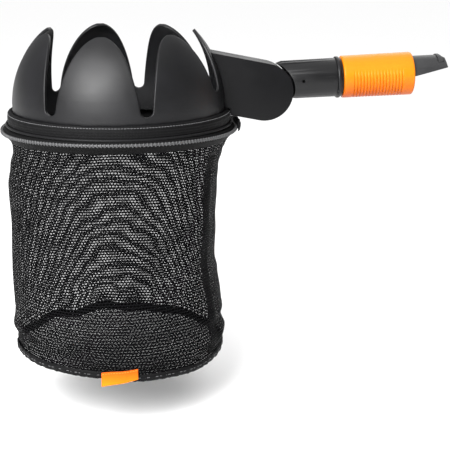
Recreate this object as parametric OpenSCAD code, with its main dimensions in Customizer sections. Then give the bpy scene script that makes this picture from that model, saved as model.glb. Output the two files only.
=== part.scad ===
// Fruit picker basket: a crown of seven petals with a zipped mesh bag below it, on a short neck
// that pivots in the crown's arm and ends in a spigot and a sliding sleeve for a long pole.
// The origin is where the pole's end seats on the spigot, and the basket hangs below on the -X side.

/* [Crown] */
// Outer radius of the crown's upright wall
crown_r = 86; // [80:1:92]
// Thickness of the crown's wall and petals
crown_wall = 2.6; // [2.2:0.2:3.2]
// Height of the petal tips above the zip
tip_z = 78.8; // [72:0.4:84]
// Height of the slots' round bottoms above the zip
slot_z = 20.8; // [19:0.2:24]
// Height of the two shallower slots beside the arm
arm_slot_z = 35; // [32:1:40]
// Half the width of a petal where it leaves the ring
petal_half_w = 33; // [32:0.5:34]

/* [Arm] */
// Distance from the basket's axis to the pivot
pivot_x = 117.5; // [114:0.5:122]
// Height of the pivot above the zip
pivot_z = 28.5; // [27:0.5:30]
// Radius of the arm's round end, which is half its depth
arm_r = 23.2; // [22:0.2:24]
// Slope of the arm, down from the crown to the pivot
arm_slope = 11.3; // [9:0.1:13]
// Half the width of the arm across its two cheeks
arm_half_w = 15; // [14:0.5:16]

/* [Neck and pole coupling] */
// Rise of the neck's axis towards the pole, in degrees
neck_rise = 2.2; // [0:0.1:4]
// Outer radius of the neck tube at the arm
neck_r0 = 15.5; // [15:0.1:16]
// Outer radius of the neck tube at the collar
neck_r1 = 15.8; // [15.6:0.1:16.4]
// Radius of the round part of the spigot, which enters the pole
spigot_r = 14.4; // [14:0.1:14.6]
// Length of the spigot beyond the pole's seat
spigot_len = 69.3; // [64:0.1:72]
// Length of the sliding sleeve
sleeve_len = 58.6; // [56:0.2:62]
// Outer radius of the sliding sleeve at its pole end
sleeve_r = 17.6; // [17.4:0.1:18]

/* [Bag] */
// Radius of the zip's coil about the basket's axis
zip_r = 94.2; // [93:0.2:96]
// Radius of the mesh wall at its widest
bag_r = 89; // [86:1:91]
// Depth of the bag below the zip
bag_depth = 184; // [160:2:200]
// Thickness of the mesh cloth
cloth = 1.2; // [1:0.1:1.6]

/* [Hidden] */
$fn = 96;
eps = 0.01;

// Where the pole's seat lies from the point on the basket's axis at the height of the zip.
seat_x = 200;
seat_z = 39;

petals = 7;
half_pitch = 180 / petals;
slot_r = 4.7;
outline_steps = 14;
past_tip = 1.004;
bow_z = slot_z - 1.8;
flange_r = 88;
flange_z = 1.2;
flange_h = 2;

// Arm, lug and pivot
lug_back = -56;
lug_front = -22;
lug_half_w = 5.8;
lug_half_h = 13;
lug_gap = 0.2;
slot_half_w = 6.3;
arm_back = -60;
arm_steps = 30;
crown_clear = 0.05;
arm_screw_at = [[-27, 8], [-27, -8]];
arm_screw_r = 1.8;
arm_screw_tip = -12.2;
arm_head_r = 3.6;
arm_head_h = 2.6;
head_sunk = 0.4;
head_gap = 0.3;
pin_r = 3;
bolt_head_r = 5.6;
bolt_head_h = 3.2;
nut_flat = 10;
nut_h = 5;
bolt_tip = -12.6;
washer_r = 9;
washer_h = 0.7;
running = 0.05;
tongue_half_w = 5.5;
tongue_r = 17;
tongue_top = 12.5;
tongue_low = -3;
sweep_r = tongue_r + 0.6;
sweep_top = 56;
sweep_low = -124;
mouth_r = 25.8;
tongue_in = 1;
past = 20;

// Neck and coupling, along the neck's axis from the pole's seat
seat_back = -2.5;
neck_groove = -19.3;
neck_end = -18;
neck_end_r = 15.6;
collar_back = -22.8;
collar_r = 17;
neck_back = -72;
neck_core_r = 12.9;
tube_bore_r = 13;
plug_back = -70;
plug_floor = -55.5;
plug_front = -40;
plug_r = 12.97;
plug_bore_r = 9;
pin_s = -51;
cross_pin_r = 1.3;
cross_bore_r = 0.6;
pin_half = 13.4;
rivet_half = 15.5;
root_back = -38;
root_bore_r = 9.5;
root_floor = 12;
rivet_s = -30;
guide_r = 15.8;
nose_r = spigot_r - 0.2;
nose_round = 4.9;
nose_slant = 1.4;
nose_drop = 1.9;
sleeve_bore_r = 16.1;
lip_r = 13.3;
lip_h = 2.4;
sleeve_back = neck_end + 0.4;
sleeve_taper = 0.4;
ribs = 16;
rib_pitch = 2.64;
rib_start = 8.5;
cut_s = 16;
cut_slope = 12;
cut_h = -1.1;
cut_at = 41;
catch_s = 64.2;
catch_l = 4.4;
catch_half_w = 10.6;
catch_gap = 0.3;
catch_floor = 6.6;
catch_base = 9.2;
catch_r = 15;
catch_ramp = 45;
spring_turns = 2;
seal_r = 1.05;

// Hem, zip and bag, as radii from the basket's axis and heights above the zip
hem_top = 16;
hem_clear_r = 90.4;
hoop_r = crown_r + 1.3;
piping_r = 90.95;
piping_z = 4.6;
coil_r = 1.5;
zip_park = 16;
slider_r = zip_r + 3.2;
pull_pin_x = 3.6;
pull_pin_r = 0.5;
patch_half = 10;
seam_turn = -34;
seam_width = 7;
label_turn = -103;
label_width = 20;
wall_points = [[88.2, -9.1], [85.4, -17], [87.6, -28], [bag_r, -44], [bag_r - 0.6, -80], [bag_r - 1, -120],
               [bag_r - 0.4, -160], [bag_r - 1, -172], [bag_r - 3.6, -bag_depth + 4]];

// The pivot and the neck's axis from the basket's point at the zip
module head_frame() translate([-seat_x, 0, -seat_z]) children();
module at_pivot() head_frame() translate([pivot_x, 0, pivot_z]) children();
module neck_frame() rotate([0, -neck_rise, 0]) children();
module arm_frame() rotate([0, arm_slope, 0]) children();
module at_arm_screws() arm_frame() for (p = arm_screw_at) translate([p[0], 0, p[1]]) children();
// Lays a flat X-Z outline on the plane y = y0 and gives it a thickness towards +Y
module plate(y0, y1) translate([0, y1, 0]) rotate([90, 0, 0]) linear_extrude(y1 - y0) children();
// A cylinder along +X from s0 to s1
module rod(s0, s1, r0, r1) translate([s0, 0, 0]) rotate([0, 90, 0]) cylinder(h = s1 - s0, r1 = r0, r2 = r1);
// A cylinder along +Y from y0 to y1
module cross(y0, y1, r) translate([0, y0, 0]) rotate([-90, 0, 0]) cylinder(h = y1 - y0, r = r);

// Outer radius of the crown at a height: upright below bow_z, and part of a ball above it
function wall_r(z) = sqrt(crown_r * crown_r - pow(max(0, z - bow_z), 2));
// Half the width of a petal at a share t of its height, with a small flat at the tip
function petal_w(t) = petal_half_w * sqrt(1 - pow(0.992 * t, 1.55));
// Half the width of a slot at that height, measured across the slot's own direction
function slot_w(t) = let (z = slot_z + t * (tip_z - slot_z), r = wall_r(z))
  r * sin(half_pitch - asin(petal_w(t) / r));
function slot_side(t0) = [for (i = [0 : outline_steps])
  let (u = 1 - i / outline_steps, t = past_tip - (past_tip - t0) * u * u)
  [slot_w(t), slot_z + t * (tip_z - slot_z)]];

module slot_outline(bottom_z) {
  t0 = (bottom_z + slot_r - slot_z) / (tip_z - slot_z);
  side = slot_side(t0);
  top = side[len(side) - 1][0];
  other = [for (i = [len(side) - 1 : -1 : 0]) [-side[i][0], side[i][1]]];
  bottom = [for (a = [195 : 15 : 345]) [0, side[0][1]] + side[0][0] * [cos(a), sin(a)]];
  polygon(concat(side, [[top, tip_z + 5], [-top, tip_z + 5]], other, bottom));
}

// The crown's wall in half section, from its base to the tips
module bow(r) translate([0, bow_z]) circle(r = r, $fn = 180);
module wall_section() {
  intersection() {
    difference() {
      bow(crown_r);
      bow(crown_r - crown_wall);
    }
    translate([40, bow_z]) square([60, tip_z - bow_z]);
  }
  translate([crown_r - crown_wall, flange_z]) square([crown_wall, bow_z - flange_z]);
  translate([crown_r - crown_wall, flange_z]) square([flange_r - crown_r + crown_wall, flange_h]);
}

// The space inside the crown, grown outwards, which the arm and its lug stay out of
module crown_block(grow) rotate([0, 0, 90]) rotate_extrude($fn = 180) {
  intersection() {
    bow(crown_r + grow);
    translate([0, bow_z]) square([crown_r + 5, tip_z - bow_z]);
  }
  translate([0, flange_z]) square([crown_r + grow, bow_z - flange_z]);
}

module crown() color([0.1, 0.1, 0.11]) head_frame() {
  difference() {
    rotate([0, 0, 11]) rotate_extrude($fn = 180) wall_section();
    for (i = [0 : petals - 1])
      rotate([0, 0, half_pitch * (2 * i + 1)]) translate([40, 0, 0]) rotate([90, 0, 90])
        linear_extrude(80) slot_outline(i == 0 || i == petals - 1 ? arm_slot_z : slot_z);
  }
  difference() {
    translate([pivot_x, 0, pivot_z]) arm_frame() lug(0);
    crown_block(-1);
    translate([pivot_x, 0, pivot_z]) at_arm_screws() cross(-past, past, arm_screw_r + 0.2);
  }
}

// The arm's outline in X-Z about the pivot: a round end and a straight bar up to the crown
module arm_outline() rotate(-arm_slope)
  polygon(concat([[arm_back, arm_r], [arm_back, -arm_r]],
                 [for (i = [0 : arm_steps]) arm_r * [sin(i * 180 / arm_steps), -cos(i * 180 / arm_steps)]]));

// The sector that the tongue sweeps through, open at the arm's end and underside
module sweep_outline() {
  circle(r = sweep_r);
  polygon([[0, 0], for (i = [0 : 8]) let (a = sweep_top + i * (sweep_low - sweep_top) / 8)
    2 * arm_r * [cos(a), sin(a)]]);
}

// The crown's lug in the arm's own direction, grown by a gap where it is cut from the shells
module lug(gap) translate([lug_back - gap, -lug_half_w - gap / 2, -lug_half_h - gap])
  cube([lug_front - lug_back + 2 * gap, 2 * lug_half_w + gap, 2 * (lug_half_h + gap)]);

module arm_half(y0, y1) difference() {
  at_pivot() difference() {
    plate(y0, y1) arm_outline();
    plate(-slot_half_w, slot_half_w) sweep_outline();
    arm_frame() lug(lug_gap);
  }
  head_frame() {
    crown_block(crown_clear);
    rotate([0, 0, 90]) cylinder(h = hem_top, r = hem_clear_r, $fn = 180);
  }
}

// The nut's hexagon, with two of its flats level
module nut_outline(gap) rotate(30) circle(r = nut_flat / 2 / cos(30) + gap, $fn = 6);

module arm_front_half() color([0.12, 0.12, 0.13]) difference() {
  arm_half(-arm_half_w, 0);
  at_pivot() {
    plate(-slot_half_w - nut_h, 0) nut_outline(running);
    cross(bolt_tip - head_gap, 0, pin_r + running);
    at_arm_screws() cross(arm_screw_tip - head_gap, past, arm_screw_r + running);
  }
}

// A hole along Y for a screw that goes in from the rear, with room for its head
module rear_hole(r, head_r, head_h) {
  cross(-past, past, r);
  cross(arm_half_w - head_sunk - head_h, past, head_r + head_gap);
}

module arm_rear_half() color([0.12, 0.12, 0.13]) difference() {
  arm_half(0, arm_half_w);
  at_pivot() {
    rear_hole(pin_r + running, bolt_head_r, bolt_head_h);
    at_arm_screws() rear_hole(arm_screw_r + 0.2, arm_head_r, arm_head_h);
  }
}

// A screw along Y with its head at the rear and a hexagon socket
module rear_screw(r, head_r, head_h, tip_y) {
  top = arm_half_w - head_sunk;
  difference() {
    union() {
      cross(tip_y, top - head_h + eps, r);
      cross(top - head_h, top, head_r);
    }
    translate([0, top - head_h * 0.6, 0]) rotate([-90, 0, 0]) cylinder(h = head_h, r = r * 0.8, $fn = 6);
  }
}

module arm_screws() color("silver") at_pivot() at_arm_screws()
  rear_screw(arm_screw_r, arm_head_r, arm_head_h, arm_screw_tip);

module pivot_bolt() color("silver") at_pivot() rear_screw(pin_r, bolt_head_r, bolt_head_h, bolt_tip);

module pivot_nut() color("silver") at_pivot() difference() {
  plate(-slot_half_w - nut_h + 2 * running, -slot_half_w) nut_outline(0);
  cross(-past, 0, pin_r);
}

module pivot_washers() color("gainsboro") at_pivot() difference() {
  for (y = [-slot_half_w + eps, slot_half_w - washer_h - eps]) cross(y, y + washer_h, washer_r);
  cross(-past, past, pin_r + 4 * running);
}

// The neck: a tapered tube whose near end is hollowed to clear the arm's round end
module neck_tube() color([0.13, 0.13, 0.14]) difference() {
  neck_frame() difference() {
    rod(neck_back, collar_back, neck_r0, neck_r1);
    rod(neck_back - 1, collar_back + 1, tube_bore_r, tube_bore_r);
    translate([pin_s, 0, 0]) cross(-past, past, cross_pin_r);
    translate([rivet_s, 0, 0]) cross(0, past, cross_pin_r);
  }
  at_pivot() cross(-past, past, mouth_r);
}

// The tongue: a plug in the tube and a flat eye on the pivot
module pivot_tongue() color([0.2, 0.2, 0.21]) difference() {
  union() {
    difference() {
      neck_frame() rod(plug_back, plug_front, plug_r, plug_r);
      at_pivot() cross(-past, past, mouth_r);
    }
    at_pivot() plate(-tongue_half_w, tongue_half_w) {
      circle(r = tongue_r);
      translate([0, tongue_low]) square([mouth_r + tongue_in, tongue_top - tongue_low]);
    }
  }
  neck_frame() {
    rod(plug_floor, plug_front + 1, plug_bore_r, plug_bore_r);
    translate([pin_s, 0, 0]) cross(-past, past, cross_pin_r + running);
  }
  at_pivot() cross(-past, past, pin_r + running);
}

// A rolled pin across the tube and the plug, with a hollow middle
module tongue_pin() color("dimgray") neck_frame() translate([pin_s, 0, 0]) difference() {
  cross(-pin_half, pin_half, cross_pin_r);
  cross(-past, past, cross_bore_r);
}

module neck_collar() color([0.1, 0.1, 0.11]) neck_frame() difference() {
  union() {
    rod(collar_back, neck_groove, collar_r, collar_r);
    rod(collar_back, neck_end, neck_end_r, neck_end_r);
  }
  rod(collar_back - 1, neck_end + 1, tube_bore_r, tube_bore_r);
}

// The side view of the spigot's wedge, which the sloping cut leaves
module wedge_outline() {
  slope = tan(cut_slope);
  top = spigot_r + 1;
  polygon([[cut_s, cut_h + (cut_s - cut_at) * slope], [spigot_len, cut_h + (spigot_len - cut_at) * slope],
           [spigot_len - nose_slant, nose_r - nose_drop], [spigot_len - nose_round, nose_r + eps],
           [spigot_len - nose_round, top], [cut_s, top]]);
}

module spigot() color([0.28, 0.28, 0.29]) neck_frame() difference() {
  union() {
    rod(root_back, seat_back + eps, neck_core_r, neck_core_r);
    rod(seat_back, 0, guide_r, guide_r);
    rod(-eps, cut_s + eps, spigot_r, spigot_r);
    intersection() {
      rod(cut_s, spigot_len, nose_r, nose_r);
      plate(-past, past) wedge_outline();
    }
  }
  rod(root_back - 1, root_floor, root_bore_r, root_bore_r);
  translate([rivet_s, 0, 0]) cross(-past, past, cross_pin_r + running);
  translate([catch_s - catch_l / 2 - catch_gap, -catch_half_w - catch_gap, catch_floor])
    cube([catch_l + 2 * catch_gap, 2 * catch_half_w + 2 * catch_gap, past]);
}

// A second rolled pin, driven in from the rear, which holds the spigot's root
module spigot_rivet() color("dimgray") neck_frame() translate([rivet_s, 0, 0]) difference() {
  cross(-neck_core_r + 0.4, rivet_half, cross_pin_r);
  cross(-past, past, cross_bore_r);
}

// The catch near the spigot's tip, which springs out into the pole's wall
module catch_button() color([0.25, 0.25, 0.26]) neck_frame() translate([catch_s, 0, 0]) difference() {
  intersection() {
    translate([-catch_l / 2, -catch_half_w, catch_base]) cube([catch_l, 2 * catch_half_w, catch_r]);
    rod(-catch_l, catch_l, catch_r, catch_r);
  }
  translate([0, -past, catch_r]) rotate([0, catch_ramp, 0]) cube(2 * past);
}

module catch_spring() color("silver") neck_frame() for (i = [0 : spring_turns - 1])
  translate([catch_s, 0, catch_floor + 0.1 + i]) difference() {
    cylinder(h = 0.6, r = 1.9);
    translate([0, 0, -1]) cylinder(h = 3, r = 1.2);
  }

// The sleeve: it slides out over the pole's end, and its lip stops it on the seat's back
module lock_sleeve() color([0.95, 0.5, 0.08]) neck_frame() difference() {
  rotate([0, 90, 0]) translate([0, 0, sleeve_back]) rotate_extrude() {
    polygon([[lip_r, 0], [sleeve_r - sleeve_taper - 1, 0], [sleeve_r - sleeve_taper, 1],
             [sleeve_r, sleeve_len - 3], [sleeve_r - 0.4, sleeve_len - 1], [sleeve_r - 1.1, sleeve_len],
             [sleeve_bore_r, sleeve_len], [sleeve_bore_r, lip_h], [lip_r, lip_h]]);
  }
  for (i = [0 : ribs - 1]) translate([sleeve_back + rib_start + i * rib_pitch, 0, 0])
    rotate([0, 90, 0]) for (a = [-70, 110]) rotate([0, 0, a])
      rotate_extrude(angle = 60) translate([sleeve_r - sleeve_taper - 0.45, -0.6]) square([2, 1.2]);
}

// A rubber ring behind the seat, which cushions the sleeve's lip at the end of its slide
module sleeve_seal() color([0.05, 0.05, 0.05]) neck_frame() translate([seat_back - seal_r - 0.1, 0, 0])
  rotate([0, 90, 0]) rotate_extrude()
    translate([neck_core_r + seal_r + running, 0]) circle(r = seal_r, $fn = 24);

// The steel hoop in the bag's hem, which rests on the crown's flange
module hem_hoop() color("silver") head_frame() translate([0, 0, flange_z + flange_h + 1.1])
  rotate_extrude($fn = 180) translate([hoop_r, 0]) circle(r = 1, $fn = 24);

module hem_band() color([0.07, 0.07, 0.07]) head_frame() rotate_extrude($fn = 180)
  polygon([[88.9, 2.4], [90, 2.4], [90, 13.2], [89, 15.2], [86.6, 15.6], [86.2, 14.6], [88.9, 13.4]]);

module hem_piping() color([0.12, 0.12, 0.12]) head_frame() translate([0, 0, piping_z])
  rotate_extrude($fn = 180) translate([piping_r, 0]) circle(r = 0.9, $fn = 24);

module upper_zip_tape() color([0.07, 0.07, 0.07]) head_frame() rotate_extrude($fn = 180)
  polygon([[88.6, 1.2], [89.2, 2.3], [93.4, 1.5], [93.4, 0.5]]);

module zip_coil() color([0.35, 0.35, 0.36]) head_frame() rotate_extrude($fn = 180)
  translate([zip_r + 0.9, 0]) circle(r = coil_r, $fn = 24);

module lower_zip_tape() color([0.07, 0.07, 0.07]) head_frame() rotate_extrude($fn = 180)
  polygon([[93.4, -0.5], [93.4, -1.7], [88.6, -9], [87.4, -9]]);

// The slider and its pull stand just behind the arm, where the zip ends
module at_slider() head_frame() rotate([0, 0, zip_park]) translate([slider_r, 0, 0]) children();

module zip_slider() color([0.15, 0.15, 0.16]) at_slider() {
  difference() {
    translate([-2.9, -4.5, -3.6]) cube([5.1, 9, 7.2]);
    translate([-4, -6, -1.9]) cube([4.3, 12, 3.8]);
  }
  for (z = [-2.8, 1.6]) translate([2.2 - eps, -1.2, z]) cube([2.7, 2.4, 1.2]);
  translate([pull_pin_x, 0, 0]) cylinder(h = 5.6, r = pull_pin_r, center = true);
}

// The pull lies along the zip and turns about the slider's pin
module zip_pull() color([0.15, 0.15, 0.16]) at_slider() translate([pull_pin_x, 0, 0]) difference() {
  union() {
    translate([-0.8, 0, -1.25]) cube([1.6, 18, 2.5]);
    cylinder(h = 2.5, r = 1.05, center = true);
    translate([-0.8, 13, -3]) cube([1.6, 11, 6]);
  }
  cylinder(h = 5, r = pull_pin_r + 0.07, center = true);
  translate([-2, 16, -1.4]) cube([4, 3, 2.8]);
}

// The folded cloth patch that hides both ends of the zip, under the arm
module zip_end_patch() color([0.08, 0.08, 0.08]) head_frame() rotate([0, 0, -patch_half])
  rotate_extrude(angle = 2 * patch_half, $fn = 180) polygon([[96.8, -5], [97.9, -5], [97.9, 5], [96.8, 5]]);

// The mesh wall: a neck under the zip, then a gentle bulge down to the base
module bag_wall() color([0.16, 0.16, 0.16]) head_frame() rotate_extrude($fn = 180)
  polygon(concat(wall_points, [for (i = [len(wall_points) - 1 : -1 : 0]) wall_points[i] - [cloth, 0]]));

// A sewn tape inside the wall, where the cloth's two edges meet
module bag_side_seam() color([0.08, 0.08, 0.08]) head_frame() rotate([0, 0, seam_turn])
  rotate_extrude(angle = seam_width, $fn = 180) polygon([[84, -20], [84.1, -20], [84.1, -bag_depth + 7],
    [83, -bag_depth + 7], [83, -20]]);

module base_binding() color([0.08, 0.08, 0.08]) head_frame() translate([0, 0, -bag_depth])
  rotate_extrude($fn = 180)
    polygon([[82.5, 0.2], [84.8, -1.2], [86.6, 0], [86.6, 3.8], [84, 3.8], [84, 1.6], [82.5, 1.6]]);

module bag_base() color([0.16, 0.16, 0.16]) head_frame() translate([0, 0, -bag_depth])
  cylinder(h = cloth, r = 82.4, $fn = 180);

module bag_label() color([0.95, 0.5, 0.08]) head_frame() rotate([0, 0, label_turn])
  rotate_extrude(angle = label_width, $fn = 180) translate([86.9, -bag_depth - 7]) square([0.8, 13]);

crown();
arm_front_half();
arm_rear_half();
arm_screws();
pivot_bolt();
pivot_nut();
pivot_washers();
neck_tube();
pivot_tongue();
tongue_pin();
neck_collar();
spigot();
spigot_rivet();
lock_sleeve();
sleeve_seal();
catch_button();
catch_spring();
hem_hoop();
hem_band();
hem_piping();
upper_zip_tape();
zip_coil();
lower_zip_tape();
zip_slider();
zip_pull();
zip_end_patch();
bag_wall();
bag_side_seam();
base_binding();
bag_base();
bag_label();
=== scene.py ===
import math

import bpy
from mathutils import Matrix, Vector, noise


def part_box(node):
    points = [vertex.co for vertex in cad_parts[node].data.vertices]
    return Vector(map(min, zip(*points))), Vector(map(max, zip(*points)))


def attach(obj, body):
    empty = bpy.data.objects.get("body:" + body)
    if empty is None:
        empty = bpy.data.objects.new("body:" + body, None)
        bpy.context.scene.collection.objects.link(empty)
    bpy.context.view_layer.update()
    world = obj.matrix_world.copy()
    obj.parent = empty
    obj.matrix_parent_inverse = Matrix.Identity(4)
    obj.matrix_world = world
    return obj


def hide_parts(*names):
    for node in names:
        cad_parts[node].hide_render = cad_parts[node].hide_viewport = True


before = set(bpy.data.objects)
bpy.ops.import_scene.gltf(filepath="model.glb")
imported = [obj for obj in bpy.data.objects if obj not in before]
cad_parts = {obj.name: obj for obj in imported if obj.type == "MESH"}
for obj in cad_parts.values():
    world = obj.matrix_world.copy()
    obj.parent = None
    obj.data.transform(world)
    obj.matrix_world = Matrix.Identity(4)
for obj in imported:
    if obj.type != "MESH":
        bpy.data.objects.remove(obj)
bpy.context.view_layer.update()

# Camera. It stands a metre in front of the basket and above its petals, with a long lens. Unless a
# section says otherwise, places are in millimetres from one point: where the basket's axis crosses
# the plane of the zip.
mm = 0.001
coil_low, coil_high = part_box("zip_coil")
basket = (coil_low + coil_high) / 2
camera_stand = (-16.9, -973.3, 167.6)
camera_dip, camera_swing = 14.49, 6.06

camera_data = bpy.data.cameras.new("camera")
camera_data.sensor_width = 36
camera_data.lens = 96
camera = bpy.data.objects.new("camera", camera_data)
bpy.context.scene.collection.objects.link(camera)
camera.location = basket + Vector(camera_stand) * mm
camera.rotation_euler = (math.radians(90 - camera_dip), 0, math.radians(-camera_swing))
bpy.context.scene.camera = camera
bpy.context.scene.view_settings.view_transform = "Standard"


# Light. A large soft box stands in front to the left and a weak one behind, so that the black
# mouldings show their edges; a broad soft sun lifts the floor, and the room itself is dim.
light_target = (40, 0, -40)


def soft_box(name, spot, size, watts):
    lamp = bpy.data.lights.new(name, "AREA")
    lamp.shape = "SQUARE"
    lamp.size = size
    lamp.energy = watts
    holder = bpy.data.objects.new(name, lamp)
    bpy.context.scene.collection.objects.link(holder)
    holder.location = basket + Vector(spot) * mm
    aim = basket + Vector(light_target) * mm - holder.location
    holder.rotation_euler = aim.to_track_quat("-Z", "Y").to_euler()


soft_box("front_soft_box", (-470, -860, 520), 0.75, 30)
soft_box("back_soft_box", (500, 900, 620), 0.8, 4)
sky = bpy.data.lights.new("soft_sun", "SUN")
sky.angle = math.radians(100)
sky.energy = 2.0
sky_holder = bpy.data.objects.new("soft_sun", sky)
bpy.context.scene.collection.objects.link(sky_holder)
sky_holder.rotation_euler = (math.radians(12), math.radians(-8), 0)

room = bpy.data.worlds.new("room")
bpy.context.scene.world = room
room.use_nodes = True
room_light = room.node_tree.nodes["Background"]
room_light.inputs["Color"].default_value = (1, 1, 1, 1)
room_light.inputs["Strength"].default_value = 0.45


# Floor. A pale matt sheet, 40 mm below the bag and wide enough to fill the view. Its finish is the
# first of many: a Finish is a Principled material, and a Signal is one of its sockets, which adds
# its own Math node when it is summed, subtracted or multiplied.
floor_drop = 232
floor_size = 60


class Signal:
    def __init__(self, finish, socket):
        self.finish = finish
        self.socket = socket

    def maths(self, operation, *others):
        values = dict(enumerate((self,) + others))
        return self.finish.node("ShaderNodeMath", {"operation": operation}, values)

    def __add__(self, other):
        return self.maths("ADD", other)

    def __sub__(self, other):
        return self.maths("SUBTRACT", other)

    def __mul__(self, other):
        return self.maths("MULTIPLY", other)

    def __radd__(self, other):
        return self.maths("ADD", other)

    def __rmul__(self, other):
        return self.maths("MULTIPLY", other)

    def __rsub__(self, other):
        return self.finish.node("ShaderNodeMath", {"operation": "SUBTRACT"}, {0: other, 1: self})


class Finish:
    def __init__(self, name, colour, roughness, **fixed):
        self.material = bpy.data.materials.new(name)
        self.material.use_nodes = True
        self.tree = self.material.node_tree
        self.shader = self.tree.nodes["Principled BSDF"]
        self.put(self.shader.inputs["Base Color"], (*colour, 1))
        self.put(self.shader.inputs["Roughness"], roughness)
        for word, amount in fixed.items():
            self.put(self.shader.inputs[word.replace("_", " ").title().replace("Ior", "IOR")], amount)

    def put(self, socket, value):
        if isinstance(value, Signal):
            self.tree.links.new(value.socket, socket)
        else:
            socket.default_value = value

    def node(self, kind, settings=None, values=None, output=0):
        made = self.tree.nodes.new(kind)
        for word, setting in (settings or {}).items():
            setattr(made, word, setting)
        for key, value in (values or {}).items():
            self.put(made.inputs[key], value)
        return Signal(self, made.outputs[output])

    def place(self):
        return self.node("ShaderNodeTexCoord", output=3)

    def shifted(self, reach):
        values = {0: self.place(), 1: (reach, reach, reach)}
        return self.node("ShaderNodeVectorMath", {"operation": "ADD"}, values)

    def split(self, vector):
        parts = self.node("ShaderNodeSeparateXYZ", values={0: vector}).socket.node
        return [Signal(self, parts.outputs[axis]) for axis in range(3)]

    def noise(self, scale, detail=3, vector=None, roughness=0.5):
        values = {"Vector": vector or self.place(), "Scale": scale}
        values.update({"Detail": detail, "Roughness": roughness})
        return self.node("ShaderNodeTexNoise", values=values)

    def mix(self, share, first, second):
        ends = [(*end, 1) if isinstance(end, tuple) else end for end in (first, second)]
        values = {0: share, 6: ends[0], 7: ends[1]}
        return self.node("ShaderNodeMix", {"data_type": "RGBA"}, values, output=2)

    def limit(self, signal, low, high, to_low=0.0, to_high=1.0):
        values = {"Value": signal, "From Min": low, "From Max": high, "To Min": to_low, "To Max": to_high}
        return self.node("ShaderNodeMapRange", {"clamp": True}, values)

    def relief(self, height, depth):
        values = {"Distance": depth, "Height": height}
        self.put(self.shader.inputs["Normal"], self.node("ShaderNodeBump", values=values))

    def colour(self, signal):
        self.put(self.shader.inputs["Base Color"], signal)

    def rough(self, signal):
        self.put(self.shader.inputs["Roughness"], signal)

    def see_through(self, signal):
        self.put(self.shader.inputs["Alpha"], signal)


bpy.ops.object.select_all(action="DESELECT")
bpy.ops.mesh.primitive_plane_add(size=floor_size, location=basket + Vector((0, 0, -floor_drop)) * mm)
floor = bpy.context.object
floor.name = "floor"
pale = Finish("pale_floor", (0.93, 0.93, 0.93), 0.9)
pale.rough(pale.limit(pale.noise(3), 0, 1, 0.85, 0.95))
floor.data.materials.append(pale.material)


# Crown. The moulded ring and its seven petals, in black polypropylene with a fine satin grain.
# Each petal is one curved sheet whose foot runs into its neighbours' below the slots; all seven
# are joined, thickened inwards and rounded, and a flange is turned round their foot.
petals = 7
crown_r = 86.0
crown_wall = 2.6
ball_z = 19.0
slot_z = 20.8
tip_z = 78.8
slot_r = 4.7
arm_slot_z = 35.0
petal_half = 33.0
half_pitch = math.pi / petals


def wall_r(z):
    return math.sqrt(crown_r**2 - max(0.0, z - ball_z) ** 2)


def slot_half(z):
    share = min(1.0, (z - slot_z) / (tip_z - slot_z))
    half = petal_half * math.sqrt(1 - (0.9966 * share) ** 1.55)
    return wall_r(z) * math.sin(half_pitch - math.asin(half / wall_r(z)))


def slot_opening(z, bottom):
    """Half the slot's width at a height, with its round end standing at bottom."""
    centre = bottom + slot_r
    radius = slot_half(centre)
    if z >= centre:
        return slot_half(z)
    return math.sqrt(max(0.0, radius**2 - (centre - z) ** 2))


def slot_rows(bottom):
    centre = bottom + slot_r
    radius = slot_half(centre)
    return [centre - radius * math.cos(math.radians(turn)) for turn in (0, 22, 42, 60, 76, 90)]


def on_only(piece):
    bpy.ops.object.select_all(action="DESELECT")
    bpy.context.view_layer.objects.active = piece
    piece.select_set(True)


def grid(name, columns, rows, spot):
    """A grid whose corners are moved to spot(column, row), given in millimetres from the basket's point."""
    bpy.ops.object.select_all(action="DESELECT")
    bpy.ops.mesh.primitive_grid_add(x_subdivisions=columns, y_subdivisions=rows, size=2)
    sheet = bpy.context.object
    sheet.name = name
    for vertex in sheet.data.vertices:
        column = round((vertex.co.x + 1) / 2 * columns)
        row = round((vertex.co.y + 1) / 2 * rows)
        vertex.co = Vector(spot(column, row)) * mm
    return sheet


def merged(pieces, name, gap=2e-5):
    """The pieces joined in one, with their doubled corners merged and their faces turned outwards."""
    on_only(pieces[0])
    for piece in pieces:
        piece.select_set(True)
    if len(pieces) > 1:
        bpy.ops.object.join()
    piece = bpy.context.object
    piece.name = name
    bpy.ops.object.mode_set(mode="EDIT")
    bpy.ops.mesh.select_all(action="SELECT")
    bpy.ops.mesh.remove_doubles(threshold=gap)
    bpy.ops.mesh.normals_make_consistent(inside=False)
    bpy.ops.object.mode_set(mode="OBJECT")
    return piece


def modified(piece, kind, **settings):
    on_only(piece)
    modifier = piece.modifiers.new(kind.lower(), kind)
    for word, setting in settings.items():
        setattr(modifier, word, setting)
    bpy.ops.object.modifier_apply(modifier=modifier.name)


def turned(name, outline, steps):
    """A closed outline of (radius, height) points, in millimetres, spun about the Z axis."""
    bpy.ops.object.select_all(action="DESELECT")
    bpy.ops.mesh.primitive_circle_add(vertices=len(outline), radius=0.01)
    ring = bpy.context.object
    ring.name = name
    for vertex, (radius, height) in zip(ring.data.vertices, outline):
        vertex.co = Vector((radius, 0, height)) * mm
    bpy.ops.object.mode_set(mode="EDIT")
    bpy.ops.mesh.select_all(action="SELECT")
    bpy.ops.mesh.spin(steps=steps, angle=math.tau, center=(0, 0, 0), axis=(0, 0, 1))
    bpy.ops.object.mode_set(mode="OBJECT")
    return merged([ring], name, 1e-6)


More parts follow.
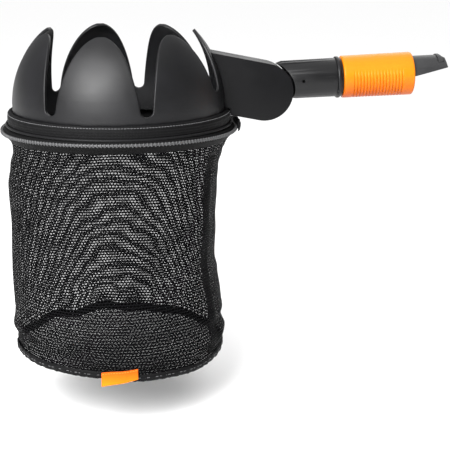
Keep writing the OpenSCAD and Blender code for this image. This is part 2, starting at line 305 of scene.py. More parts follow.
def finished(piece, node, body, material, sharp):
    """Shades and dresses a piece, and says what it rides on and which designed part it replaces."""
    on_only(piece)
    bpy.ops.object.shade_smooth_by_angle(angle=math.radians(sharp))
    piece.data.materials.clear()
    piece.data.materials.append(material)
    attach(piece, body)
    if node:
        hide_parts(node)


def moulded(name, dark, light, roughness, grain=2600, depth=0.00004, shine=0.3):
    """Moulded plastic: a slow change of tone between dark and light, a fine grain and a few pale scuffs."""
    finish = Finish(name, dark, roughness, specular_ior_level=shine)
    cloud = finish.noise(35, 4)
    speck = finish.noise(grain, 2)
    scuff = finish.limit(finish.noise(260, 6, roughness=0.7), 0.62, 0.78)
    tone = finish.limit(cloud * 0.7 + speck * 0.3, 0.35, 0.65)
    scuffed = tuple(channel * 1.5 + 0.004 for channel in light)
    finish.colour(finish.mix(scuff * 0.35, finish.mix(tone, dark, light), scuffed))
    finish.rough(finish.limit(cloud + scuff * 0.3, 0.3, 0.8, roughness - 0.05, roughness + 0.1))
    finish.relief(speck, depth)
    return finish.material


in_basket = Matrix.Translation(basket)

rows = [1.4, 3.0, 8.0, 14.0, ball_z - 0.6]
rows += slot_rows(slot_z) + [29.0]
rows += slot_rows(arm_slot_z) + [43.5, 47.5, 52.0, 56.5, 61.0, 65.0, 68.8]
rows += [72.0, 74.6, 76.5, 77.8, 78.5, tip_z]
rim = 1.4
across = 11


def petal(number):
    """One petal; the two slots beside the arm's petal, number 0, end higher than the others."""
    middle = number * 2 * half_pitch
    bottoms = {-1: arm_slot_z if number in (0, 1) else slot_z,
               1: arm_slot_z if number in (0, petals - 1) else slot_z}

    def spot(column, row):
        z = rows[row]
        radius = wall_r(z)
        place = column / across * 2 - 1
        side = -1 if place < 0 else 1
        reach = half_pitch - math.asin(slot_opening(z, bottoms[side]) / radius)
        edge = min(rim / (reach * radius), 0.3)
        if abs(place) < 0.999:
            place = place / (1 - 2 / across) * (1 - edge)
        turn = middle + place * reach
        return radius * math.cos(turn), radius * math.sin(turn), z

    return grid("petal", across, len(rows) - 1, spot)


crown = merged([petal(number) for number in range(petals)], "crown_moulding", 1e-5)
modified(crown, "SOLIDIFY", thickness=crown_wall * mm, offset=-1, use_even_offset=True)
modified(crown, "SUBSURF", levels=2, render_levels=2)
foot = turned("foot", [(83.6, 1.2), (87.6, 1.2), (88, 1.6), (88, 2.8), (87.6, 3.2), (83.6, 3.2)], 144)
on_only(crown)
foot.select_set(True)
bpy.ops.object.join()
crown.data.transform(in_basket)
crown_black, crown_grey = (0.0016, 0.0016, 0.002), (0.0034, 0.0034, 0.0044)
crown_plastic = moulded("crown_plastic", crown_black, crown_grey, 0.42)
finished(crown, "crown", "head", crown_plastic, 50)


# Arm. Two deep shells, closed by screws from the back, in the same black plastic a shade finer.
# Each is the designed shell with every edge rounded: widely along the outer outline, where the
# light runs along it, and by a hair at the joint between the two.
def softened(name, node, width, segments=3, wide=None, wide_width=0.0, moved=None):
    """A copy of a designed part with its edges rounded by width, and those that wide picks by wide_width."""
    copy = bpy.data.objects.new(name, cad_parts[node].data.copy())
    bpy.context.scene.collection.objects.link(copy)
    on_only(copy)
    bpy.ops.mesh.customdata_custom_splitnormals_clear()
    bpy.ops.object.mode_set(mode="EDIT")
    bpy.ops.mesh.select_all(action="SELECT")
    bpy.ops.mesh.remove_doubles(threshold=2e-6)
    bpy.ops.mesh.dissolve_limited(angle_limit=math.radians(0.8))
    bpy.ops.object.mode_set(mode="OBJECT")
    if moved:
        for vertex in copy.data.vertices:
            vertex.co = moved(vertex.co)
    if wide:
        weights = copy.data.attributes.new("bevel_weight_edge", "FLOAT", "EDGE")
        for edge in copy.data.edges:
            ends = [copy.data.vertices[index].co for index in edge.vertices]
            weights.data[edge.index].value = 1.0 if wide(*ends) else 0.0
        modified(copy, "BEVEL", width=wide_width * mm, segments=segments + 1, limit_method="WEIGHT",
                 use_clamp_overlap=True)
    modified(copy, "BEVEL", width=width * mm, segments=segments, limit_method="ANGLE",
             angle_limit=math.radians(40), use_clamp_overlap=True)
    return copy


arm_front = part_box("arm_front_half")[0].y
arm_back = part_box("arm_rear_half")[1].y


def on_face(depth):
    """Whether an edge lies in the arm's flat outer face at this depth."""
    return lambda first, second: max(abs(first.y - depth), abs(second.y - depth)) < 1e-5


arm_black, arm_grey = (0.0016, 0.0016, 0.0019), (0.003, 0.003, 0.0036)
arm_plastic = moulded("arm_plastic", arm_black, arm_grey, 0.38, 3200, 0.00003, 0.14)
front_half = softened("arm_front_shell", "arm_front_half", 0.3, 2, on_face(arm_front), 1.5)
finished(front_half, "arm_front_half", "head", arm_plastic, 40)
rear_half = softened("arm_rear_shell", "arm_rear_half", 0.3, 2, on_face(arm_back), 1.0)
finished(rear_half, "arm_rear_half", "head", arm_plastic, 40)


# Arm fixings. The screws, the pivot bolt, its nut and washers, the catch's spring and the hem's
# hoop are zinc-plated steel wire and turned parts; the neck's two pins are dark steel. All keep
# their designed shapes, under a finely scratched finish.
def dress(nodes, material):
    for node in nodes:
        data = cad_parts[node].data
        data.materials.clear()
        data.materials.append(material)


def metal(name, dark, light, roughness, worn=0.0):
    finish = Finish(name, dark, roughness, metallic=1.0)
    cloud = finish.noise(180, 4)
    scratch = finish.noise(900, 2, roughness=0.7)
    finish.colour(finish.mix(finish.limit(cloud, 0.35, 0.7), dark, light))
    finish.rough(finish.limit(scratch + cloud * worn, 0.3, 0.9, roughness - 0.06, roughness + 0.12))
    finish.relief(scratch, 0.00001)
    return finish.material


plated = metal("zinc_plated_steel", (0.46, 0.46, 0.45), (0.62, 0.62, 0.60), 0.32)
dark_steel = metal("dark_steel", (0.008, 0.008, 0.008), (0.02, 0.02, 0.02), 0.5)
dress(["arm_screws", "pivot_bolt", "pivot_nut", "pivot_washers", "catch_spring", "hem_hoop"], plated)
dress(["tongue_pin", "spigot_rivet"], dark_steel)


# Neck. A tapered tube of satin black plastic, hollowed at its near end to clear the arm's round
# end, with the dark nylon tongue inside it and a rounded collar where the sleeve begins. Places
# are in millimetres along the neck from the frame's own zero.
neck_rise = math.radians(2.2)
in_neck = Matrix.Rotation(-neck_rise, 4, "Y")

bolt_low, bolt_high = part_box("pivot_bolt")
pivot = (bolt_low + bolt_high) / 2
mouth_r, front_gap_r, back_gap_r = 25.8, 25.0, 23.7
gap_turns = (-8, 6)


def closed_up(spot):
    """The mouth's cut drawn in towards the arm's round end, most at the back, so that the gap is dark."""
    reach = Vector((spot.x - pivot.x, 0, spot.z - pivot.z))
    if abs(reach.length / mm - mouth_r) > 0.05:
        return spot
    share = min(1.0, max(0.0, (spot.y / mm - gap_turns[0]) / (gap_turns[1] - gap_turns[0])))
    radius = front_gap_r + (back_gap_r - front_gap_r) * share
    return Vector((pivot.x, spot.y, pivot.z)) + reach.normalized() * radius * mm


neck_black, neck_grey = (0.0012, 0.0012, 0.0015), (0.0024, 0.0024, 0.003)
neck_plastic = moulded("neck_plastic", neck_black, neck_grey, 0.40, 3400, 0.00002, 0.3)
neck = softened("neck_moulding", "neck_tube", 0.45, 3, moved=closed_up)
finished(neck, "neck_tube", "handle", neck_plastic, 40)

tongue_plastic = moulded("tongue_plastic", (0.004, 0.004, 0.0045), (0.008, 0.008, 0.009), 0.5, shine=0.15)
tongue = softened("tongue_moulding", "pivot_tongue", 0.4, 2, moved=closed_up)
finished(tongue, "pivot_tongue", "handle", tongue_plastic, 40)


def lathed(name, outline, columns, reach=lambda turn, along, radius: radius):
    """A closed outline of (along the neck, radius), in millimetres, turned about the neck's axis."""

    def spot(column, row):
        along, radius = outline[row % len(outline)]
        turn = column / columns * math.tau
        radius = reach(turn, along, radius)
        return along, radius * math.sin(turn), radius * math.cos(turn)

    return merged([grid(name, columns, len(outline), spot)], name, 2e-6)


def arc(centre, radius, first, last, steps):
    turns = [math.radians(first + (last - first) * step / steps) for step in range(steps + 1)]
    return [(centre[0] + radius * math.cos(turn), centre[1] + radius * math.sin(turn)) for turn in turns]


collar_back, collar_front, collar_r, bore_r = -22.8, -19.3, 17.0, 13.0
collar_end, collar_end_r = -18.0, 15.6
collar_round, collar_nick, collar_edge, turns_round = 1.4, 0.2, 0.3, 144
ring = arc((collar_back + collar_round, collar_r - collar_round), collar_round, 180, 90, 6)
ring += arc((collar_front - collar_round, collar_r - collar_round), collar_round, 90, 0, 6)
ring += [(collar_front, collar_end_r + collar_nick), (collar_front + collar_nick, collar_end_r)]
ring += [(collar_end - collar_edge, collar_end_r), (collar_end, collar_end_r - collar_edge)]
ring += [(collar_end, bore_r + collar_edge), (collar_end - collar_edge, bore_r)]
ring += [(collar_back + collar_edge, bore_r), (collar_back, bore_r + collar_edge)]
collar = lathed("collar_ring", ring, turns_round)
collar.data.transform(in_neck)
finished(collar, "neck_collar", "handle", neck_plastic, 40)


# Spigot. The dark grey nylon tip that enters the pole, cut away below to a slanted wedge, with
# its spring-loaded catch near the end and a black rubber ring behind the seat.
spigot_dark, spigot_grey = (0.016, 0.016, 0.017), (0.030, 0.030, 0.031)
spigot_plastic = moulded("spigot_plastic", spigot_dark, spigot_grey, 0.42, 2800, 0.00004, 0.25)
spigot = softened("spigot_moulding", "spigot", 0.5, 3)
finished(spigot, "spigot", "handle", spigot_plastic, 40)
catch = softened("catch_moulding", "catch_button", 0.35, 3)
finished(catch, "catch_button", "catch", spigot_plastic, 40)

rubber = Finish("black_rubber", (0.012, 0.012, 0.012), 0.8)
rubber.colour(rubber.mix(rubber.noise(400), (0.008, 0.008, 0.008), (0.02, 0.02, 0.02)))
rubber.relief(rubber.noise(2500), 0.00003)
dress(["sleeve_seal"], rubber.material)


# Sleeve. The sliding lock, moulded in satin orange plastic. Rounded grip grooves run across its
# sides and underside and fade out towards the smooth top.
sleeve_low = -17.6
sleeve_len = 58.6
sleeve_r = 17.6
sleeve_taper = 0.4
sleeve_bore, lip, lip_r = 16.1, 2.4, 13.3
back_round, front_round, mouth_edge = 1.1, 1.5, 0.3
groove_start, groove_pitch, grooves, groove_depth = 8.5, 2.64, 16, 0.72


def groove(turn, along, radius):
    travel = (along - sleeve_low - groove_start + groove_pitch / 2) / groove_pitch
    if radius < sleeve_bore + mouth_edge:
        return radius
    radius -= sleeve_taper * (1 - (along - sleeve_low) / sleeve_len)
    if not 0 < travel < grooves:
        return radius
    dip = (0.5 - 0.5 * math.cos(travel * math.tau)) ** 4
    fade = min(1.0, max(0.0, (0.45 - math.cos(turn)) / 0.5))
    return radius - groove_depth * dip * fade * fade * (3 - 2 * fade)


groove_steps = grooves * 8
first_groove = sleeve_low + groove_start - groove_pitch / 2
outer = [(first_groove + step * groove_pitch * grooves / groove_steps, sleeve_r)
         for step in range(groove_steps + 1)]
sleeve_high = sleeve_low + sleeve_len
shell = arc((sleeve_low + back_round, sleeve_r - back_round), back_round, 180, 90, 6)
shell += [(sleeve_low + 3, sleeve_r), (sleeve_low + 5.5, sleeve_r)] + outer
shell += arc((sleeve_high - front_round, sleeve_r - front_round), front_round, 90, 0, 7)
shell += [(sleeve_high, sleeve_bore + mouth_edge), (sleeve_high - mouth_edge, sleeve_bore)]
shell += [(sleeve_low + lip, sleeve_bore), (sleeve_low + lip, lip_r), (sleeve_low, lip_r)]
sleeve = lathed("sleeve_shell", shell, turns_round, groove)
# The recalculated faces of this grooved shell point inwards, so they are turned over.
bpy.ops.object.mode_set(mode="EDIT")
bpy.ops.mesh.select_all(action="SELECT")
bpy.ops.mesh.flip_normals()
bpy.ops.object.mode_set(mode="OBJECT")
sleeve.data.transform(in_neck)
orange = Finish("orange_plastic", (0.60, 0.15, 0.002), 0.38, specular_ior_level=0.2)
cloud = orange.noise(60, 4)
# The orange is drawn darker towards the sleeve's underside, by height: painted shade.
lift = orange.split(orange.place())[2]
low = orange.limit(lift, -0.020, 0.004)
orange_with_painted_underside_shade = orange.mix(low, (0.30, 0.022, 0.0002), (0.62, 0.165, 0.001))
orange.colour(orange.mix(orange.limit(cloud, 0.3, 0.7) * 0.25, orange_with_painted_underside_shade, (0.66, 0.20, 0.003)))
orange.rough(orange.limit(cloud, 0.3, 0.7, 0.33, 0.44))
orange.relief(orange.noise(3000, 2), 0.00002)
finished(sleeve, "lock_sleeve", "sleeve", orange.material, 50)


# Hem. Black webbing is folded over the steel hoop and sewn round the crown's foot; a satin piping
# runs along its lower edge, and a row of light stitches along its upper one.
hem_r = 90


def around(finish):
    """The turn about the basket's axis, as millimetres of arc at hem_r, and the height above the zip."""
    spot = finish.split(finish.place())
    reach = {0: spot[1] - basket.y, 1: spot[0] - basket.x}
    turn = finish.node("ShaderNodeMath", {"operation": "ARCTAN2"}, reach)
    return turn * hem_r, (spot[2] - basket.z) * (1 / mm)


def wave(finish, signal, length):
    turn = {0: signal * (math.tau / length)}
    return finish.node("ShaderNodeMath", {"operation": "SINE"}, turn) * 0.5 + 0.5


def woven(name, dark, light, warp, weft, depth, roughness=0.75):
    finish = Finish(name, dark, roughness, specular_ior_level=0.12)
    arc_length, height = around(finish)
    cross = wave(finish, arc_length, warp) * wave(finish, height, weft)
    fuzz = finish.noise(1800, 3)
    finish.colour(finish.mix(finish.limit(cross * 0.8 + fuzz * 0.4, 0.2, 0.9), dark, light))
    finish.rough(finish.limit(fuzz, 0.3, 0.7, roughness - 0.08, roughness + 0.1))
    finish.relief(cross + fuzz * 0.4, depth)
    return finish.material


webbing_black, webbing_grey = (0.001, 0.001, 0.0012), (0.0045, 0.0045, 0.005)
webbing = woven("black_webbing", webbing_black, webbing_grey, 1.1, 2.1, 0.00016, 0.62)
ring_steps = 240
hem_outline = [(88.9, 2.4), (89.4, 2.2), (90, 2.6), (90.15, 5.5), (90, 6.6), (90.25, 9), (90.2, 11.5),
               (89.9, 13.2), (89.3, 14.7), (88.2, 15.5), (86.8, 15.6), (86.2, 15.1), (86.3, 14.6),
               (87.6, 14.4), (88.7, 13.2), (88.9, 11)]


def hem_spot(column, row):
    radius, height = hem_outline[row % len(hem_outline)]
    turn = column / ring_steps * math.tau
    ripple = 0.16 * math.sin(turn * 31 + 2 * math.sin(turn * 5)) + 0.12 * math.sin(turn * 74 + 1)
    height += ripple * (1 if height > 12 else 0.3)
    radius += 0.10 * math.sin(turn * 53 + height * 0.4) if height < 14 and radius > 89.5 else 0
    return radius * math.cos(turn), radius * math.sin(turn), height


hem = merged([grid("hem_webbing", ring_steps, len(hem_outline), hem_spot)], "hem_webbing")
hem.data.transform(in_basket)
finished(hem, "hem_band", "head", webbing, 60)


def round_section(centre_r, centre_z, radius, sides):
    turns = [step / sides * math.tau for step in range(sides)]
    return [(centre_r + radius * math.cos(turn), centre_z + radius * math.sin(turn)) for turn in turns]


piping_cloth = woven("piping_cloth", (0.006, 0.006, 0.0065), (0.018, 0.018, 0.019), 0.9, 3.0, 0.00006, 0.42)
piping = turned("piping_cord", round_section(91.1, 4.9, 1.0, 14), ring_steps)
piping.data.transform(in_basket)
finished(piping, "hem_piping", "head", piping_cloth, 60)


def repeated(name, part, places):
    """One joined piece of copies of part, each moved by its matrix; part itself is used up."""
    copies = []
    for place in places:
        copy = part.copy()
        copy.data = part.data.copy()
        copy.data.transform(place)
        bpy.context.scene.collection.objects.link(copy)
        copies.append(copy)
    bpy.data.objects.remove(part)
    on_only(copies[0])
    for copy in copies:
        copy.select_set(True)
    bpy.ops.object.join()
    bpy.context.object.name = name
    return bpy.context.object


def bead(name, radius, length, sides, squeeze=0.4):
    """A short bar along Z, in millimetres, with its ends eased by squeeze of its radius."""
    bpy.ops.object.select_all(action="DESELECT")
    bpy.ops.mesh.primitive_cylinder_add(vertices=sides, radius=radius * mm, depth=length * mm)
    bar = bpy.context.object
    bar.name = name
    modified(bar, "BEVEL", width=radius * squeeze * mm, segments=1, limit_method="ANGLE",
             angle_limit=math.radians(60))
    return bar


def standing(turn, radius, height, lean):
    """The place of a bar at a turn, radius and height about the basket's axis, leaning along the ring."""
    place = Matrix.Rotation(turn, 4, "Z") @ Matrix.Translation(Vector((radius, 0, height)) * mm)
    return in_basket @ place @ Matrix.Rotation(lean, 4, "X")


stitch_count = 236
stitch_r, stitch_height = 89.75, 13.75
thread = Finish("polyester_thread", (0.10, 0.10, 0.105), 0.55)
thread.colour(thread.mix(thread.noise(700), (0.05, 0.05, 0.052), (0.15, 0.15, 0.155)))
thread.relief(wave(thread, around(thread)[0], 0.35), 0.00005)
quarter = math.radians(90)
stitch_turns = [index / stitch_count * math.tau for index in range(stitch_count)]
stitches = repeated("hem_stitches", bead("stitch", 0.24, 1.75, 8),
                    [standing(turn, stitch_r, stitch_height, quarter) for turn in stitch_turns])
finished(stitches, None, "head", thread.material, 60)


# Zip. A dark tape on either side of a grey nylon coil: a core cord with one small slanting loop
# for each turn of the coil. A folded patch hides both ends under the arm, where the painted zinc
# slider and its pull stand too.
tape = woven("zip_tape", (0.001, 0.001, 0.001), (0.004, 0.004, 0.0045), 1.45, 1.0, 0.0001, 0.75)


def zip_lift(turn):
    """How far the zip rides up in front, where the bag hangs slack."""
    return 1.8 * max(0.0, (-math.sin(turn) - 0.35) / 0.65) ** 1.5


def lifted(piece):
    for vertex in piece.data.vertices:
        vertex.co.z += zip_lift(math.atan2(vertex.co.y, vertex.co.x)) * mm


coil_edge = 94


def tape_ring(name, node, points):
    """One tape, 0.75 mm thick, through points of (radius, height), slightly wavy away from the coil."""
    outline = points + [(radius - 0.75, height - 0.1) for radius, height in reversed(points)]

    def spot(column, row):
        radius, height = outline[row % len(outline)]
        turn = column / ring_steps * math.tau
        radius += 0.18 * math.sin(turn * 47 + height) * min(1.0, max(0.0, (coil_edge - radius) / 3))
        return radius * math.cos(turn), radius * math.sin(turn), height

    ring = merged([grid(name, ring_steps, len(outline), spot)], name)
    lifted(ring)
    ring.data.transform(in_basket)
    finished(ring, node, "head", tape, 60)


tape_ring("upper_tape", "upper_zip_tape",
          [(89.4, 3.6), (90.6, 3.0), (92.4, 2.3), (93.6, 1.6), (93.8, 0.2)])
tape_ring("lower_tape", "lower_zip_tape",
          [(93.8, 0.1), (93.9, -1.2), (93.3, -2.3), (91.9, -3.8), (90.4, -5.2), (89.3, -6.4), (88.5, -7.6)])

coil_nylon = Finish("coil_nylon", (0.04, 0.04, 0.042), 0.42)
coil_nylon.colour(coil_nylon.mix(coil_nylon.noise(500), (0.025, 0.025, 0.026), (0.06, 0.06, 0.062)))
coil_nylon.relief(coil_nylon.noise(2600), 0.00002)
teeth = 206
coil_height, loop_r = 0.1, 95.35
cord = turned("coil_core", round_section(94.6, coil_height, 1.05, 10), teeth)
lifted(cord)
cord.data.transform(in_basket)
loop_turns = [index / teeth * math.tau for index in range(teeth)]
loop_lean = math.radians(17)
loops = repeated("coil_loops", bead("loop", 0.82, 3.1, 8, 0.64),
                 [standing(turn, loop_r, coil_height + zip_lift(turn), loop_lean) for turn in loop_turns])
on_only(cord)
loops.select_set(True)
bpy.ops.object.join()
cord.name = "zip_coil_loops"
finished(cord, "zip_coil", "head", coil_nylon.material, 60)

patch_rows = [(96.6, 5), (97.4, 5.3), (98.2, 4.6), (98.6, 3.4), (98.7, 2), (98.4, 0.4), (98.1, -1.4),
              (97.3, -2.4), (96.6, -2.2), (96.9, -0.5), (97, 1.2), (96.9, 3.5)]
patch_steps, patch_half = 28, 10.5


def patch_spot(column, row):
    radius, height = patch_rows[row % len(patch_rows)]
    turn = math.radians(patch_half * (2 * column / patch_steps - 1))
    radius += 0.35 * math.sin(column * 0.9 + height * 0.5) if radius > 97.2 else 0
    return radius * math.cos(turn), radius * math.sin(turn), height * (1 + 0.08 * math.sin(column * 0.7))


patch = merged([grid("zip_patch", patch_steps, len(patch_rows), patch_spot)], "zip_patch")
on_only(patch)
bpy.ops.object.mode_set(mode="EDIT")
bpy.ops.mesh.select_all(action="DESELECT")
bpy.ops.mesh.select_non_manifold()
bpy.ops.mesh.fill()
bpy.ops.mesh.select_all(action="SELECT")
bpy.ops.mesh.normals_make_consistent(inside=False)
bpy.ops.object.mode_set(mode="OBJECT")
patch.data.transform(in_basket)
finished(patch, "zip_end_patch", "head", webbing, 60)

slider_metal = metal("black_painted_zinc", (0.012, 0.012, 0.012), (0.03, 0.03, 0.03), 0.34, 0.5)
slider = softened("slider_body", "zip_slider", 0.1, 2)
finished(slider, "zip_slider", "slider", slider_metal, 40)
pull = softened("slider_pull", "zip_pull", 0.12, 2)
finished(pull, "zip_pull", "pull", slider_metal, 40)


# Bag. A tube of warp-knitted polyester net, sewn into a round base. It hangs from the zip a little
# to one side, with shallow ripples down its wall and creases where it meets the base.
hang = [(-5.6, 89.3, 0), (-8.4, 87.9, -0.1), (-12, 86.5, -0.4), (-17, 85.3, -1.4), (-30, 85.0, -4.3),
        (-45, 85.3, -5.7), (-81, 84.6, -6.0), (-107, 84.0, -6.8), (-120, 85.2, -5.9), (-143, 87.0, -4.2),
        (-162, 87.6, -3.6), (-172, 87.4, -3.3), (-180, 85.9, -3.2), (-185, 84.4, -3.2)]
bag_shift = hang[-1][2]


def hung(z):
    """The wall's radius and sideways shift at a height, smoothed between the rows of hang."""
    for (high, radius_0, shift_0), (low, radius_1, shift_1) in zip(hang, hang[1:]):
        if z >= low:
            share = min(1.0, max(0.0, (high - z) / (high - low)))
            share = share * share * (3 - 2 * share)
            return radius_0 + (radius_1 - radius_0) * share, shift_0 + (shift_1 - shift_0) * share
    return hang[-1][1:]


def ripple(turn, z):
    """How far the cloth stands off its smooth wall: broad sags, fine ripples and creases near the foot."""
    near = math.exp(-(((z + 168) / 20) ** 2))
    start = min(1.0, max(0.0, (-z - 10) / 30))
    around_wall = Vector((math.cos(turn), math.sin(turn), 0))
    broad = noise.noise(around_wall * 1.6 + Vector((0, 0, z / 60)))
    crease = noise.noise(around_wall * 2.6 + Vector((3, 0, z / 11)))
    fine = noise.noise(around_wall * 9 + Vector((0, 7, z / 26)))
    fade = min(1.0, max(0.0, (z + 184) / 10))
    return fade * (start * (1.6 * broad + 0.7 * fine) + near * 4.2 * crease)


def foot_drop(turn):
    """How far the base seam hangs below its level: lower at the right in front, and wavy at the back."""
    back = max(0.0, math.sin(turn))
    sway = noise.noise(Vector((math.cos(turn) * 3.1, math.sin(turn) * 2.1, 2)))
    right = 4.2 * max(0.0, math.cos(turn + 0.95)) ** 3
    left = 2.6 * max(0.0, math.cos(turn + 2.5)) ** 3
    return right - left + (1.2 + 7 * back) * sway


def wall_spot(turn, z, inset=0.0):
    """A spot on the hanging wall, inset towards the inside; its foot follows the base seam."""
    radius, shift = hung(z)
    radius += ripple(turn, z) - inset
    near_foot = min(1.0, max(0.0, (-z - 130) / 52))
    drop = foot_drop(turn) * near_foot * near_foot
    lift = zip_lift(turn) * min(1.0, max(0.0, (z + 40) / 30))
    return radius * math.cos(turn) + shift, radius * math.sin(turn), z - drop + lift


wall_columns, wall_rows = 288, 120
wall_top, wall_foot = -5.6, -182.5
wall = grid("bag_net", wall_columns, wall_rows, lambda column, row: wall_spot(
    column / wall_columns * math.tau, wall_foot + (wall_top - wall_foot) * row / wall_rows))
wall = merged([wall], "bag_net")
modified(wall, "SOLIDIFY", thickness=0.3 * mm, offset=0)
wall.data.transform(in_basket)


def netting(name, across, down, wide=0.4, tall=0.33, veil=0.22):
    """Net with staggered oval holes; across and down count its cells, and veil is the yarn left in a hole."""
    finish = Finish(name, (0.003, 0.003, 0.0033), 0.7, specular_ior_level=0.02)
    columns = across(finish) + finish.noise(45, 2) * 1.3
    lines = down(finish) + finish.noise(38, 2, finish.shifted(3.0)) * 1.3
    row = finish.node("ShaderNodeMath", {"operation": "FLOOR"}, {0: lines})
    odd = finish.node("ShaderNodeMath", {"operation": "PINGPONG"}, {0: row, 1: 1.0})
    wander = finish.noise(420, 2) * 0.1 - 0.05
    x = finish.node("ShaderNodeMath", {"operation": "FRACT"}, {0: columns + odd * 0.5 + wander}) - 0.5
    y = finish.node("ShaderNodeMath", {"operation": "FRACT"}, {0: lines}) - 0.5
    reach = x * x * (1 / wide**2) + y * y * (1 / tall**2)
    hole = finish.limit(reach, 0.9, 1.1, veil, 1.0)
    yarn = finish.limit(reach, 1.0, 2.6)
    twist = finish.noise(3200, 2)
    finish.see_through(hole)
    # The yarn is drawn lighter along the middle of each strand and darker towards the holes: a painted
    # highlight and shade on the rounded strands, with a random tone from the twist.
    tone = finish.limit(yarn * 0.6 + twist * 0.4, 0.2, 0.8)
    finish.colour(finish.mix(tone, (0.001, 0.001, 0.0012), (0.005, 0.005, 0.0056)))
    finish.rough(finish.limit(twist, 0.3, 0.7, 0.5, 0.65))
    finish.relief(yarn + twist * 0.3, 0.00025)
    return finish.material


def uv_part(axis, count):
    return lambda finish: finish.split(finish.node("ShaderNodeTexCoord", output=2))[axis] * count


def lengths(axis, cell):
    return lambda finish: finish.split(finish.place())[axis] * (1 / (cell * mm))


net = netting("black_net", uv_part(0, 194), uv_part(1, 76))
finished(wall, "bag_wall", "head", net, 80)


# Side seam. The strip's two edges overlap inside the wall, a little in front of the arm, under a
# tape of the same webbing as the hem.
seam_columns, seam_rows = 8, 60
seam_start, seam_sweep = -34, 7
seam_low, seam_tall, seam_inset = -180, 166, 0.7
seam = grid("seam_tape", seam_columns, seam_rows, lambda column, row: wall_spot(
    math.radians(seam_start + seam_sweep * column / seam_columns),
    seam_low + seam_tall * row / seam_rows, seam_inset))
modified(seam, "SOLIDIFY", thickness=0.7 * mm, offset=1)
seam = merged([seam], "seam_tape", 1e-6)
seam.data.transform(in_basket)
finished(seam, "bag_side_seam", "head", webbing, 60)


# Base. A round of the same net, slack and creased, sewn to the wall under a folded black binding
# that puckers along its stitches.
base_columns, base_rows = 144, 30
base_r, base_level, base_sag = 84.0, -184.2, 1.6


def base_spot(column, row):
    turn = column / base_columns * math.tau
    share = 1 - row / base_rows
    radius = base_r * share
    sag = (1 - share**2) * base_sag
    fold = Vector((math.cos(turn) * share * 3, math.sin(turn) * share * 3, 5))
    crease = noise.noise(fold) * 2.4 * (1 - share**6)
    drop = foot_drop(turn) * share**2
    return radius * math.cos(turn) + bag_shift, radius * math.sin(turn), base_level - sag + crease - drop


base = merged([grid("base_net", base_columns, base_rows, base_spot)], "base_net")
modified(base, "SOLIDIFY", thickness=0.3 * mm, offset=0)
base.data.transform(in_basket)
base_net = netting("base_net", lengths(0, 2.9), lengths(1, 2.3), 0.45, 0.4)
finished(base, "bag_base", "head", base_net, 80)

binding_rows = [(82.6, -183.4), (83.4, -185.4), (84.8, -186.2), (86.2, -185.8), (86.9, -184.2),
                (87.1, -182.2), (86.9, -180.4), (86.4, -179.8), (85.7, -180.3), (85.5, -182),
                (84.6, -183.2), (83.4, -182.9)]


def binding_spot(column, row):
    radius, height = binding_rows[row % len(binding_rows)]
    turn = column / ring_steps * math.tau
    pucker = 0.35 * math.sin(turn * 58 + 1.5 * math.sin(turn * 9))
    radius += pucker * (1 if radius > 85 else 0.2)
    height += 0.2 * math.sin(turn * 91) - foot_drop(turn)
    return radius * math.cos(turn) + bag_shift, radius * math.sin(turn), height


binding = merged([grid("binding_tape", ring_steps, len(binding_rows), binding_spot)], "binding_tape")
binding.data.transform(in_basket)
finished(binding, "base_binding", "head", webbing, 60)

seam_stitches = 150
sewn_r, sewn_height = 86.95, -182.6
sewn_places = []
for index in range(seam_stitches):
    turn = index / seam_stitches * math.tau
    place = Matrix.Translation(Vector((bag_shift, 0, -foot_drop(turn))) * mm)
    sewn_places.append(place @ standing(turn, sewn_r, sewn_height, quarter))
sewn = repeated("binding_stitches", bead("stitch", 0.26, 2.3, 8), sewn_places)
finished(sewn, None, "head", thread.material, 60)


# Label. A blank folded tag of woven orange ribbon, caught in the base seam a little left of the
# middle, with a row of orange stitches along its upper edge.
label_columns, label_rows = 26, 12
label_start, label_sweep = -101.0, 18.6
label_r, label_top = 88.5, -178.6
label_deep, label_slant = 11.4, 2.8


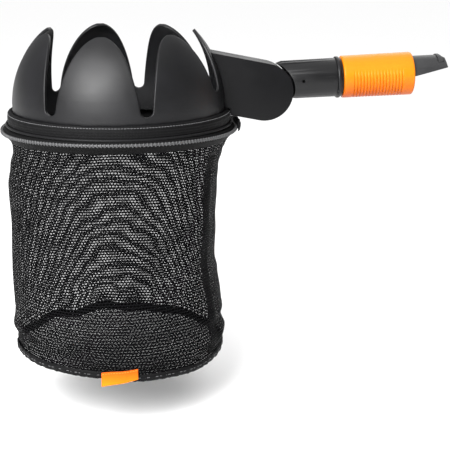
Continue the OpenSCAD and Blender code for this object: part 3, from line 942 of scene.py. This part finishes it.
def label_spot(column, row):
    share = column / label_columns
    fall = row / label_rows
    turn = math.radians(label_start + label_sweep * share)
    radius = label_r + 0.35 * math.sin(share * 5.2) * fall + 0.9 * fall
    tilt = 2.2 * (share - 0.5) + 0.25 * math.sin(share * 7)
    height = label_top - (label_deep - label_slant * share) * fall + tilt
    return radius * math.cos(turn) + bag_shift, radius * math.sin(turn), height


label = grid("label_tag", label_columns, label_rows, label_spot)
modified(label, "SOLIDIFY", thickness=0.7 * mm, offset=0)
label = merged([label], "label_tag", 1e-6)
modified(label, "BEVEL", width=0.2 * mm, segments=2, limit_method="ANGLE", angle_limit=math.radians(50))
label.data.transform(in_basket)
ribbon = Finish("orange_ribbon", (0.65, 0.15, 0.01), 0.6, specular_ior_level=0.1)
weave = wave(ribbon, around(ribbon)[0], 0.5) * wave(ribbon, around(ribbon)[1], 0.45)
# The ribbon is drawn darker towards the tag's lower edge, by height: painted shade.
fade = ribbon.limit(around(ribbon)[1], -190, -180, 1, 0)
ribbon_painted_shade = ribbon.mix(fade, (0.52, 0.065, 0.001), (0.66, 0.18, 0.002))
ribbed = ribbon.limit(weave + ribbon.noise(300) * 0.4, 0.1, 1.1)
ribbon.colour(ribbon.mix(ribbed * 0.3, ribbon_painted_shade, (0.74, 0.27, 0.012)))
ribbon.relief(weave, 0.00006)
finished(label, "bag_label", "head", ribbon.material, 60)

tag_stitches = []
tag_stitch_count, tag_margin, tag_pitch, tag_row_place, tag_proud = 13, 1.2, 1.96, 1.4, 0.32
for index in range(tag_stitch_count):
    x, y, z = label_spot(tag_margin + index * tag_pitch, tag_row_place)
    turn = math.atan2(y, x - bag_shift)
    out = math.hypot(y, x - bag_shift) + tag_proud
    tag_stitches.append(Matrix.Translation(Vector((bag_shift, 0, 0)) * mm) @ standing(turn, out, z, quarter))
tag_thread = Finish("orange_thread", (0.85, 0.22, 0.01), 0.5)
tag_thread.colour(tag_thread.mix(tag_thread.noise(900), (0.75, 0.13, 0.005), (0.95, 0.33, 0.03)))
tag_thread.relief(wave(tag_thread, around(tag_thread)[0], 0.35), 0.00005)
tag_row = repeated("label_stitches", bead("stitch", 0.2, 1.5, 8), tag_stitches)
finished(tag_row, None, "head", tag_thread.material, 60)
